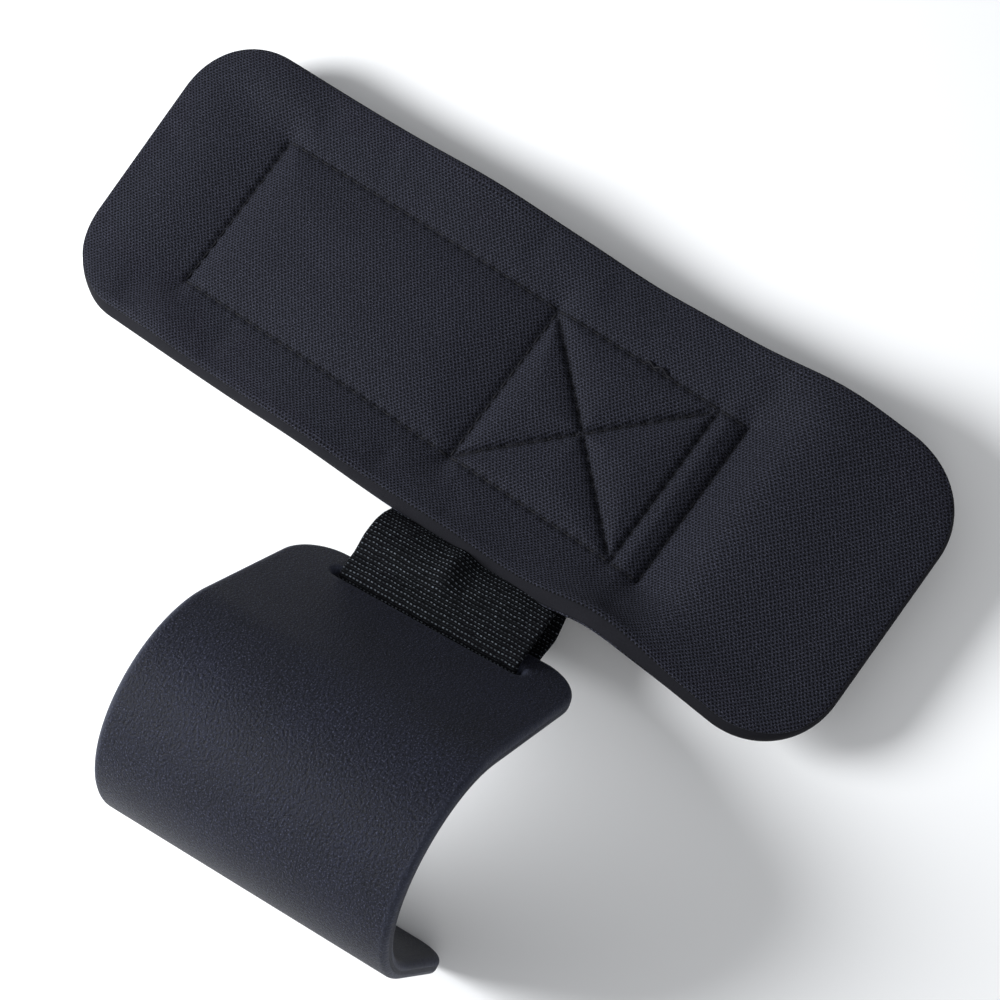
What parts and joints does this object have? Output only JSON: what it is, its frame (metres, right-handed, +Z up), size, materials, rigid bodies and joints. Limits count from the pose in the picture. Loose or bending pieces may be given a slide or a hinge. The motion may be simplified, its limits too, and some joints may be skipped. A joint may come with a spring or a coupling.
{
  "type": "weight lifting wrist hook",
  "caption": "Foam wrist pad with a ring-buckled webbing strap closed behind it and a broad coated steel hook hanging in a webbing sling.",
  "frame": {"origin": "on the resting surface, under the middle of the pad, at the middle of the rest face", "axes": "+X along the pad's length, +Y from the hook towards the pad, +Z up, out of the pad's skin side"},
  "size_m": [0.23, 0.1766, 0.063],
  "materials": {
    "knit_lining": "fine knit",
    "foam": "cut closed-cell foam",
    "webbing": "ribbed nylon webbing",
    "hook_and_loop": "hook-and-loop tape",
    "thread": "bonded nylon thread",
    "soft_coating": "matt, slightly grainy dipped coating",
    "hook_steel": "mill finish under the coating",
    "ring_steel": "nickel plated"
  },
  "bodies": {
    "pad": {"pad_foam": "foam", "skin_lining": "knit_lining", "back_lining": "knit_lining", "wrist_strap": "webbing", "ring_keeper": "webbing", "loop_pile_patch": "hook_and_loop", "sling_anchor": "webbing", "stitches_long_box": "thread", "stitches_cross_box": "thread", "stitches_ring_box": "thread", "stitches_sling_tack": "thread", "stitches_pile_patch": "thread"},
    "ring": {"strap_ring": "ring_steel", "strap_turn": "webbing"},
    "strap_end": {"strap_end": "webbing", "hook_tape_patch": "hook_and_loop", "stitches_tape_patch": "thread"},
    "sling": {"sling_loop": "webbing"},
    "hook": {"hook_plate": "hook_steel", "hook_coating": "soft_coating"}
  },
  "joints": [
    {"name": "sling_flex", "type": "hinge", "parent": "pad", "child": "sling", "pos_m": [0.02717, -0.04377, 0.0087], "axis": [0.9949, 0.1011, 0], "range_deg": [-15, 35]},
    {"name": "hook_pivot", "type": "hinge", "parent": "sling", "child": "hook", "pos_m": [0.0285, -0.0569, 0.01767], "axis": [0.9949, 0.1011, 0], "range_deg": [-70, 70]},
    {"name": "ring_swivel", "type": "hinge", "parent": "pad", "child": "ring", "pos_m": [0.068, 0, 0.00725], "axis": [0, -1, 0], "range_deg": [0, 18]},
    {"name": "strap_peel", "type": "hinge", "parent": "ring", "child": "strap_end", "pos_m": [0.0772, 0, 0.0007], "axis": [0, -1, 0], "range_deg": [0, 90]}
  ]
}
